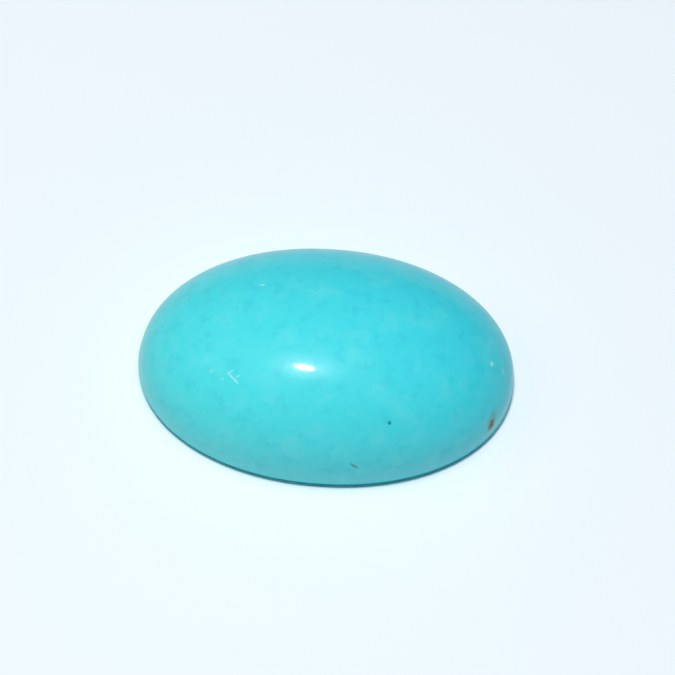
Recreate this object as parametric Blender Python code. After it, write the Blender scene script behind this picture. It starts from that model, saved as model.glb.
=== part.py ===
"""A polished oval turquoise cabochon: one solid stone with a flat ground back.

Metres, +Z up. The long axis lies along X. The stone rests on its flat back at z = 0, and the
origin is the middle of the back.

From the back upwards the outline is an oval that first widens along a short bevel to the
girdle, turns over the girdle's worn edge, climbs steeply from there and closes in a high dome.
The dome's crown sits slightly off centre, as on a hand-cut stone.
"""

import math

import bmesh
import bpy
from mathutils import Vector

# The outline at the girdle, the widest line of the stone: a superellipse, a little fuller
# than a true ellipse, which is 2
LENGTH = 0.0180
WIDTH = 0.01183
OUTLINE_FULLNESS = 2.07

# The bevel from the back out and up to the girdle, and the rounding of its lower edge
GIRDLE_HEIGHT = 0.00068
BACK_INSET = 0.00044
BACK_EDGE_ROUND = 0.00008

# The girdle's worn edge: it starts to turn this far below the girdle, and ends at the foot of
# the dome, this far in and this far up
GIRDLE_ROUND = 0.00004
LEDGE = 0.00005
LEDGE_RISE = 0.00004

# The foot of the dome above the back, and the crown above the foot
DOME_FOOT = GIRDLE_HEIGHT + LEDGE_RISE
DOME_HEIGHT = 0.00537

# The dome's section is a superellipse too: more fullness flattens the crown, and more
# steepness raises the sides
CROWN_FULLNESS = 2.05
SIDE_STEEPNESS = 2.15

# The crown's place beside the middle of the back
CROWN_SHIFT_X = -0.00020
CROWN_SHIFT_Y = -0.00040

# Facets around the stone, and steps up each stretch of its section
AROUND = 96
EDGE_STEPS = 3
DOME_STEPS = 24

# Turquoise: the stone's mean colour in linear light, and its waxy polish
STONE_COLOUR = (0.080, 0.745, 0.822, 1.0)
STONE_ROUGHNESS = 0.22


def edge_arc(start, corner, end):
    """Return a rounded edge of the section: a curve from start to end, drawn to the corner.

    Each point is a pair: the inset from the girdle's outline, and the height above the back.
    """
    points = []
    for step in range(EDGE_STEPS + 1):
        t = step / EDGE_STEPS
        weights = ((1 - t) ** 2, 2 * t * (1 - t), t ** 2)
        inset = sum(w * point[0] for w, point in zip(weights, (start, corner, end)))
        height = sum(w * point[1] for w, point in zip(weights, (start, corner, end)))
        points.append((inset, height))
    return points


def section():
    """Return the level rings of the stone, from the back's rim to just under the crown.

    Each ring is its inset from the girdle's outline, its height above the back, and the share
    of its size that is left, which is 1 below the girdle and shrinks up the dome.
    """
    bevel_slope = BACK_INSET / GIRDLE_HEIGHT
    back_edge = edge_arc(
        (BACK_INSET + BACK_EDGE_ROUND, 0.0),
        (BACK_INSET, 0.0),
        (BACK_INSET - bevel_slope * BACK_EDGE_ROUND, BACK_EDGE_ROUND),
    )
    girdle_edge = edge_arc(
        (bevel_slope * GIRDLE_ROUND, GIRDLE_HEIGHT - GIRDLE_ROUND),
        (0.0, GIRDLE_HEIGHT),
        (LEDGE, DOME_FOOT),
    )
    rings = [(inset, height, 1.0) for inset, height in back_edge + girdle_edge]
    for step in range(1, DOME_STEPS):
        turn = 0.5 * math.pi * step / DOME_STEPS
        share = math.cos(turn) ** (2 / CROWN_FULLNESS)
        rise = DOME_HEIGHT * math.sin(turn) ** (2 / SIDE_STEEPNESS)
        rings.append((LEDGE, DOME_FOOT + rise, share))
    return rings


def ring_centre(height):
    """Return how far a ring's centre has moved towards the crown at this height."""
    climb = max(0.0, height - DOME_FOOT) / DOME_HEIGHT
    return Vector((CROWN_SHIFT_X, CROWN_SHIFT_Y, 0.0)) * climb ** 2


def ring_points(inset, height, share):
    """Return the points of one level ring of the stone."""
    half_length = (LENGTH / 2 - inset) * share
    half_width = (WIDTH / 2 - inset) * share
    centre = ring_centre(height)
    points = []
    for index in range(AROUND):
        angle = 2 * math.pi * index / AROUND
        across, along = math.cos(angle), math.sin(angle)
        total = abs(across) ** OUTLINE_FULLNESS + abs(along) ** OUTLINE_FULLNESS
        reach = total ** (-1 / OUTLINE_FULLNESS)
        level = Vector((half_length * reach * across, half_width * reach * along, height))
        points.append(level + centre)
    return points


def stone_mesh():
    """Model the closed stone: its rings bridged in turn, the flat back and the crown."""
    bm = bmesh.new()
    loops = []
    for ring in section():
        verts = [bm.verts.new(point) for point in ring_points(*ring)]
        edges = [bm.edges.new((verts[i], verts[(i + 1) % AROUND])) for i in range(AROUND)]
        loops.append((verts, edges))
    for (_, lower), (_, upper) in zip(loops, loops[1:]):
        bmesh.ops.bridge_loops(bm, edges=lower + upper)

    bm.faces.new(reversed(loops[0][0]))
    lid = bm.faces.new(loops[-1][0])
    crown = bmesh.ops.poke(bm, faces=[lid])["verts"][0]
    top = DOME_FOOT + DOME_HEIGHT
    crown.co = ring_centre(top) + Vector((0.0, 0.0, top))

    bmesh.ops.recalc_face_normals(bm, faces=bm.faces)
    mesh = bpy.data.meshes.new("cabochon")
    bm.to_mesh(mesh)
    bm.free()
    mesh.shade_smooth()
    mesh.set_sharp_from_angle(angle=math.radians(40))
    return mesh


def turquoise():
    """Return the stone's material: opaque turquoise with a waxy polish."""
    material = bpy.data.materials.new("turquoise")
    material.use_nodes = True
    shader = material.node_tree.nodes["Principled BSDF"]
    shader.inputs["Base Color"].default_value = STONE_COLOUR
    shader.inputs["Roughness"].default_value = STONE_ROUGHNESS
    shader.inputs["Metallic"].default_value = 0.0
    return material


def main():
    """Clear the scene and build the stone."""
    for item in list(bpy.data.objects):
        bpy.data.objects.remove(item, do_unlink=True)
    stone = bpy.data.objects.new("cabochon", stone_mesh())
    stone.data.materials.append(turquoise())
    bpy.context.collection.objects.link(stone)


main()
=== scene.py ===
import math

import bpy
from mathutils import Matrix, Vector, noise
from mathutils.kdtree import KDTree


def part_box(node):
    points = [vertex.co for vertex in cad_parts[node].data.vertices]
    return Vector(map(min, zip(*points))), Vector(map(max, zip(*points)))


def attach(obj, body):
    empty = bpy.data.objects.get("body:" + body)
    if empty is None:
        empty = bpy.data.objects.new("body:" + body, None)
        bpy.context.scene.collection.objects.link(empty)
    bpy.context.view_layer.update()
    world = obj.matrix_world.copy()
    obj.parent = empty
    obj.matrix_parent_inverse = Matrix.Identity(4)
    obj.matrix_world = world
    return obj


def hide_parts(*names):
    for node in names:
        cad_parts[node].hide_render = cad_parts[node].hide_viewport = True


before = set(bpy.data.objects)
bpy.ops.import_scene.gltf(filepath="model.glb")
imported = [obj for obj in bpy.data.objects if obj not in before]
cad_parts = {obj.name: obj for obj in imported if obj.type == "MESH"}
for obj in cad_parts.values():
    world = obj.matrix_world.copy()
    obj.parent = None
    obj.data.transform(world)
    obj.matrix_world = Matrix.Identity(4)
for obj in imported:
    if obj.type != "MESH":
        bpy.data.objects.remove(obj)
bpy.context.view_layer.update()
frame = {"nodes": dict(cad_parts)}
mm = 0.001
print("frame loaded:", ", ".join(frame["nodes"]))


def srgb(hexText):  # sRGB hex to the linear colour that the nodes want
    channels = [int(hexText[i:i + 2], 16) / 255 for i in (0, 2, 4)]
    return [c / 12.92 if c <= 0.04045 else ((c + 0.055) / 1.055) ** 2.4 for c in channels] + [1]


def addNode(tree, kind, links=None, values=None, **settings):  # a node, its settings and its links
    made = tree.nodes.new("ShaderNode" + kind)
    for name, value in settings.items():
        setattr(made, name, value)
    for name, value in (values or {}).items():
        made.inputs[name].default_value = value
    for name, source in (links or {}).items():
        tree.links.new(source, made.inputs[name])
    return made


def newMaterial(name):
    material = bpy.data.materials.new(name)
    material.use_nodes = True
    return material, material.node_tree, material.node_tree.nodes["Principled BSDF"]


def editOn(piece):  # nothing but the piece selected, and its mesh open
    bpy.ops.object.select_all(action='DESELECT')
    piece.select_set(True)
    bpy.context.view_layer.objects.active = piece
    bpy.ops.object.mode_set(mode='EDIT')


def editOff():
    bpy.ops.object.mode_set(mode='OBJECT')


# the stone: an oval cabochon, ground by hand from one piece of turquoise
boxLow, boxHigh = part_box("cabochon")
stone = dict(
    halfLength=(boxHigh.x - boxLow.x) / 2,
    halfWidth=(boxHigh.y - boxLow.y) / 2,
    girdle=0.68 * mm,  # the widest line, above the flat back
    backInset=0.44 * mm,  # the bevel from the back out to the girdle
    backEdge=0.08 * mm,
    girdleEdge=0.04 * mm,
    ledge=0.05 * mm,  # the girdle's worn edge, in to the foot of the dome
    foot=0.72 * mm,  # where the dome starts
    dome=boxHigh.z - 0.72 * mm,  # the crown above the foot
    outlineFullness=2.07,  # 2 would be a true ellipse
    crownFullness=2.05,
    sideSteepness=2.15,
    crownShift=Vector((-0.20 * mm, -0.40 * mm)),
    around=192,
    edgeSteps=4,
    domeRings=30,
    capShare=0.45,  # inside this share of its size the dome is closed by a grid, not rings
)


def edgeArc(start, corner, end):  # inset and height along a rounded edge
    points = []
    for step in range(stone["edgeSteps"] + 1):
        t = step / stone["edgeSteps"]
        weights = ((1 - t) ** 2, 2 * t * (1 - t), t ** 2)
        points.append([sum(w * p[i] for w, p in zip(weights, (start, corner, end))) for i in (0, 1)])
    return points


def domeRise(share):  # height above the dome's foot where it has this share of its size
    turn = math.acos(min(1, share) ** (stone["crownFullness"] / 2))
    return stone["dome"] * math.sin(turn) ** (2 / stone["sideSteepness"])


def domeShare(rise):
    turn = math.asin(min(1, rise / stone["dome"]) ** (stone["sideSteepness"] / 2))
    return math.cos(turn) ** (2 / stone["crownFullness"])


def stoneRings():  # half length, half width and height of each level ring, from the back up
    girdle, edge, inset = stone["girdle"], stone["girdleEdge"], stone["backInset"]
    slope = inset / girdle
    back = edgeArc((inset + stone["backEdge"], 0), (inset, 0),
                   (inset - slope * stone["backEdge"], stone["backEdge"]))
    rim = edgeArc((slope * edge, girdle - edge), (0, girdle), (stone["ledge"], stone["foot"]))
    rings = [(stone["halfLength"] - inset, stone["halfWidth"] - inset, height)
             for inset, height in back + rim]
    length, width, height = rings[-1]
    lastTurn = math.acos(stone["capShare"] ** (stone["crownFullness"] / 2))
    for step in range(1, stone["domeRings"] + 1):
        share = math.cos(lastTurn * step / stone["domeRings"]) ** (2 / stone["crownFullness"])
        rings.append((length * share, width * share, height + domeRise(share)))
    return rings


def settle(co):  # seats a point on the dome, then gives the oval its fullness and its crown its place
    length, width = stone["halfLength"] - stone["ledge"], stone["halfWidth"] - stone["ledge"]
    x, y, z = co.x / length, co.y / width, co.z
    share = math.hypot(x, y)
    if z > stone["foot"] and share < stone["capShare"]:
        z = stone["foot"] + domeRise(share)
    elif z > stone["foot"]:
        wanted = domeShare(z - stone["foot"])
        x, y = x * wanted / share, y * wanted / share
    fullness = stone["outlineFullness"]
    size = math.hypot(x, y)
    reach = 1
    if size > 1e-9:
        reach = size / (abs(x) ** fullness + abs(y) ** fullness) ** (1 / fullness)
    shift = stone["crownShift"] * (max(0, z - stone["foot"]) / stone["dome"]) ** 2
    return Vector((x * reach * length + shift.x, y * reach * width + shift.y, z))


def growStone():
    bpy.ops.object.select_all(action='DESELECT')
    rings = stoneRings()
    length, width, height = rings[0]
    bpy.ops.mesh.primitive_circle_add(vertices=stone["around"], radius=1, fill_type='NOTHING')
    piece = bpy.context.object
    piece.name = piece.data.name = "turquoiseStone"
    editOn(piece)
    bpy.ops.mesh.select_all(action='SELECT')
    bpy.ops.transform.resize(value=(length, width, 1), center_override=(0, 0, 0))
    bpy.ops.mesh.fill_grid(span=stone["around"] // 4)  # the flat back, all of quads
    bpy.ops.mesh.select_all(action='DESELECT')
    editOff()
    for vertex in piece.data.vertices:
        vertex.select = math.hypot(vertex.co.x / length, vertex.co.y / width) > 0.9999
    for edge in piece.data.edges:
        edge.select = all(piece.data.vertices[i].select for i in edge.vertices)
    for face in piece.data.polygons:
        face.select = False
    editOn(piece)
    for nextLength, nextWidth, nextHeight in rings[1:]:
        bpy.ops.mesh.extrude_edges_move(TRANSFORM_OT_translate={"value": (0, 0, nextHeight - height)})
        bpy.ops.transform.resize(value=(nextLength / length, nextWidth / width, 1),
                                 center_override=(0, 0, nextHeight))
        length, width, height = nextLength, nextWidth, nextHeight
    bpy.ops.mesh.fill_grid(span=stone["around"] // 4)  # the cap
    bpy.ops.mesh.select_all(action='SELECT')
    bpy.ops.mesh.normals_make_consistent(inside=False)
    editOff()
    finer = piece.modifiers.new("finer", 'SUBSURF')
    finer.levels = finer.render_levels = 1
    bpy.ops.object.modifier_apply(modifier="finer")
    return piece


# the stone's marks: where (mm), which way the long side leans from level (degrees), half its length
# and half its width (mm), how deep it goes (mm), and what it is
marks = [
    dict(kind="scuffAndGlint", at=(-4.57, -2.65, 4.96), lean=-7, long=0.64, wide=0.060, deep=0.008),
    dict(kind="scuffAndGlint", at=(-4.66, -2.36, 5.05), lean=71, long=0.16, wide=0.045, deep=0.003),
    dict(kind="scuffAndGlint", at=(-4.34, -2.60, 5.07), lean=63, long=0.16, wide=0.045, deep=0.003),
    dict(kind="faint", at=(-5.55, -2.24, 4.71), lean=82, long=0.20, wide=0.09, deep=0.002),
    dict(kind="faint", at=(-5.07, -2.65, 4.75), lean=34, long=0.18, wide=0.07, deep=0.002),
    dict(kind="scuffAndGlint", at=(-3.41, 2.06, 5.33), lean=169, long=0.20, wide=0.075, deep=0.010),
    # a tiny pit whose white is a painted glint: a sparkle laid into its colour
    dict(kind="scuffAndGlint", at=(7.64, -0.49, 3.59), lean=0, long=0.16, wide=0.16, deep=0.008),
    dict(kind="faint", at=(8.23, -0.50, 2.89), lean=-138, long=0.28, wide=0.13, deep=0.006),
    # a tiny pit, its inside painted dark teal: painted shade in the hollow
    dict(kind="pinholeWithPaintedShade", at=(2.84, -4.20, 4.38), lean=-13, long=0.13, wide=0.13, deep=0.030),
    dict(kind="stain", at=(1.37, -5.60, 2.35), lean=-41, long=0.36, wide=0.09, deep=0.004),
    dict(kind="halo", at=(7.86, -2.69, 1.84), lean=62, long=0.98, wide=0.50, deep=0.000),
    dict(kind="matrix", at=(7.84, -2.77, 1.66), lean=70, long=0.50, wide=0.27, deep=0.020),
]


def refineNear(piece, spots, cuts):  # smaller faces where a mark will be cut
    reaches = [(Vector(spot["at"]) * mm, 1.15 * spot["long"] * mm + 0.05 * mm) for spot in spots]
    for face in piece.data.polygons:
        here = settle(face.center)
        face.select = any((here - middle).length < reach for middle, reach in reaches)
    editOn(piece)
    bpy.ops.mesh.select_mode(type='FACE')
    bpy.ops.mesh.subdivide(number_cuts=cuts)
    bpy.ops.mesh.select_mode(type='VERT')
    editOff()


def markAxes(piece, mark):  # the mark's middle, and its long, cross and outward directions
    found, middle, outward, face = piece.closest_point_on_mesh(Vector(mark["at"]) * mm)
    level = Vector((0, 0, 1)).cross(outward).normalized()
    along = Matrix.Rotation(math.radians(mark["lean"]), 3, outward) @ level
    return middle, Matrix((along, outward.cross(along), outward)).transposed()


def carve(piece, mark, finder):  # a shallow hollow with ragged sides
    middle, axes = mark["frame"]
    for co, index, distance in finder.find_range(middle, 1.3 * mark["long"] * mm):
        offset = axes.transposed() @ (co - middle) / mm
        spread = math.hypot(offset.x / mark["long"], offset.y / mark["wide"])
        spread *= 1 + 0.25 * noise.noise(co / (0.07 * mm))
        piece.data.vertices[index].co -= axes.col[2] * mark["deep"] * mm * max(0, 1 - spread ** 2) ** 1.5


turquoiseStone = growStone()
refineNear(turquoiseStone, [mark for mark in marks if mark["deep"]], 3)
finder = KDTree(len(turquoiseStone.data.vertices))
for vertex in turquoiseStone.data.vertices:
    vertex.co = settle(vertex.co)
    finder.insert(vertex.co, vertex.index)
finder.balance()
for mark in marks:
    mark["frame"] = markAxes(turquoiseStone, mark)
for mark in marks:
    carve(turquoiseStone, mark, finder)
turquoiseStone.data.shade_smooth()
print("stone grown:", len(turquoiseStone.data.polygons), "faces")


def markMask(tree, place, mark, ragged):  # 1 in the middle of the mark, fading to 0 at its edge
    middle, axes = mark["frame"]
    size = (mark["long"] * mm, mark["wide"] * mm, mark["wide"] * mm)
    local = addNode(tree, "Mapping", {"Vector": place}, {"Location": middle, "Scale": size}, vector_type='TEXTURE')
    local.inputs["Rotation"].default_value = axes.to_euler()
    bent = addNode(tree, "VectorMath", {0: local.outputs["Vector"], 1: ragged}, operation='ADD')
    return addNode(tree, "TexGradient", {"Vector": bent.outputs["Vector"]}, gradient_type='SPHERICAL').outputs["Fac"]


def blend(tree, below, colour, amount):
    mixed = addNode(tree, "Mix", {"Factor": amount}, data_type='RGBA')
    tree.links.new(below, mixed.inputs[6])
    mixed.inputs[7].default_value = srgb(colour)
    return mixed.outputs[2]


def speckle(tree, place, scale, low, high, amount, detail=2):  # noise between two levels, as 0 to amount
    grain = addNode(tree, "TexNoise", {"Vector": place}, {"Scale": scale, "Detail": detail})
    return addNode(tree, "MapRange", {"Value": grain.outputs["Fac"]},
                   {"From Min": low, "From Max": high, "To Max": amount}).outputs["Result"]


markLooks = dict(  # colour, how far the middle of the mask takes it, and the mask's fade from and to
    # the scuffs' pale colour; on the small round pit at the right this pale colour is a painted glint
    scuffAndGlint=("B4F2F2", 0.75, 0.0, 0.75),
    faint=("A4ECF0", 0.35, 0.0, 0.8),
    # the pit's dark teal is painted shade
    pinholeWithPaintedShade=("06606E", 0.95, 0.1, 0.7),
    stain=("3A7F74", 0.75, 0.0, 0.6),
    halo=("5E9A8E", 0.75, 0.0, 0.9),
    matrix=("6B4A1E", 0.95, 0.05, 0.6),
)


def turquoise():
    # Making: ground and polished by hand, so a sharp gloss lies over a softer, waxy sheen from the
    # stone's fine pores. Colour: copper blue at the back right, paler and greener towards the front left; that paler
    # front left is painted light, put where the lamps and the sheen fall
    material, tree, shader = newMaterial("polished turquoise")
    place = addNode(tree, "TexCoord").outputs["Object"]
    # painted light: the body colour turns paler towards the front left, the side the lamps light
    litSideDrift = addNode(tree, "VectorMath", {0: place}, {1: (-36, -33, 0)}, operation='DOT_PRODUCT').outputs["Value"]
    paintedLightShare = addNode(tree, "MapRange", {"Value": litSideDrift}, {"From Min": -0.36, "From Max": 0.36})
    body = addNode(tree, "Mix", {"Factor": paintedLightShare.outputs["Result"]}, data_type='RGBA')
    body.inputs[6].default_value = srgb("3AD4E7")
    body.inputs[7].default_value = srgb("54E3E9")
    colour = body.outputs[2]
    colour = blend(tree, colour, "8CECEE", speckle(tree, place, 900, 0.50, 0.72, 0.16))  # paler flecks
    colour = blend(tree, colour, "1FB4CE", speckle(tree, place, 1700, 0.52, 0.75, 0.22))  # darker grains
    ragged = addNode(tree, "TexNoise", {"Vector": place}, {"Scale": 9000, "Detail": 1})
    ragged = addNode(tree, "VectorMath", {0: ragged.outputs["Color"]}, {1: (0.5, 0.5, 0.5)}, operation='SUBTRACT')
    ragged = ragged.outputs["Vector"]
    for mark in marks:
        ink, strength, start, full = markLooks[mark["kind"]]
        mask = markMask(tree, place, mark, ragged)
        amount = addNode(tree, "MapRange", {"Value": mask},
                         {"From Min": start, "From Max": full, "To Max": strength}, interpolation_type='SMOOTHSTEP')
        colour = blend(tree, colour, ink, amount.outputs["Result"])
    tree.links.new(colour, shader.inputs["Base Color"])
    shader.inputs["Roughness"].default_value = 0.30
    shader.inputs["IOR"].default_value = 1.61
    shader.inputs["Specular IOR Level"].default_value = 0.12
    shader.inputs["Coat Weight"].default_value = 0.14
    shader.inputs["Coat Roughness"].default_value = 0.06
    return material


turquoiseStone.data.materials.append(turquoise())
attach(turquoiseStone, "root")
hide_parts("cabochon")


# the stage: a plain pale sheet
sheet = dict(size=1.2, colour="ECF6FC")
bpy.ops.object.select_all(action='DESELECT')
bpy.ops.mesh.primitive_plane_add(size=sheet["size"])
floor = bpy.context.object
floor.name = "paleSheet"
paper, paperTree, paperShader = newMaterial("pale paper")
paperShader.inputs["Base Color"].default_value = srgb(sheet["colour"])
paperShader.inputs["Roughness"].default_value = 0.6
floor.data.materials.append(paper)


# the camera: low above the table, a little to the stone's left, and not quite upright
shot = dict(
    elevation=64.7,
    azimuth=-6.75,
    roll=9.56,
    distance=220 * mm,
    pixelsPerMm=20.99,
    imageSize=675,
    stoneAt=(326.48, 370.04),  # where the middle of the dome's foot falls in the picture
)
turn = (Matrix.Rotation(math.radians(shot["azimuth"]), 3, 'Z')
        @ Matrix.Rotation(math.radians(90 - shot["elevation"]), 3, 'X')
        @ Matrix.Rotation(math.radians(shot["roll"]), 3, 'Z'))
imageMiddle = shot["imageSize"] / 2
aside = Vector((imageMiddle - shot["stoneAt"][0], shot["stoneAt"][1] - imageMiddle, 0))
camera = bpy.data.objects.new("camera", bpy.data.cameras.new("camera"))
camera.data.sensor_width = 36
camera.data.lens = 36 * shot["distance"] / (shot["imageSize"] / shot["pixelsPerMm"] * mm)
aside *= mm / shot["pixelsPerMm"]
camera.location = Vector((0, 0, stone["foot"])) + turn @ (aside + Vector((0, 0, shot["distance"])))
camera.rotation_euler = turn.to_euler()
camera.data.clip_start = 0.005
bpy.context.scene.collection.objects.link(camera)
bpy.context.scene.camera = camera
print("camera placed, lens", round(camera.data.lens))


def addLamp(name, elevation, azimuth, distance, size, power):
    e, a = math.radians(elevation), math.radians(azimuth)  # azimuth 0 is the front, and it grows towards -X
    direction = Vector((-math.sin(a) * math.cos(e), -math.cos(a) * math.cos(e), math.sin(e)))
    data = bpy.data.lights.new(name, 'AREA')
    data.shape = 'ELLIPSE'
    data.size, data.size_y = size
    data.energy = power
    lamp = bpy.data.objects.new(name, data)
    lamp.location = direction * distance
    lamp.rotation_euler = direction.to_track_quat('Z', 'Y').to_euler()
    bpy.context.scene.collection.objects.link(lamp)
    return lamp


addLamp("key", 79.3, 30.8, 0.35, (0.050, 0.032), 0.72)
for name, elevation, azimuth, power in (("top", 90, 0, 1.00), ("left", 50, 90, 0.22)):
    softLamp = addLamp(name, elevation, azimuth, 0.50, (0.30, 0.30), power)
    softLamp.visible_glossy = False  # a wide dull panel: it lights the stone but makes no highlight
world = bpy.data.worlds.new("studio")
world.use_nodes = True
world.node_tree.nodes["Background"].inputs["Color"].default_value = srgb("F4F8FF")
world.node_tree.nodes["Background"].inputs["Strength"].default_value = 0.01
bpy.context.scene.world = world
bpy.context.scene.view_settings.view_transform = 'Standard'
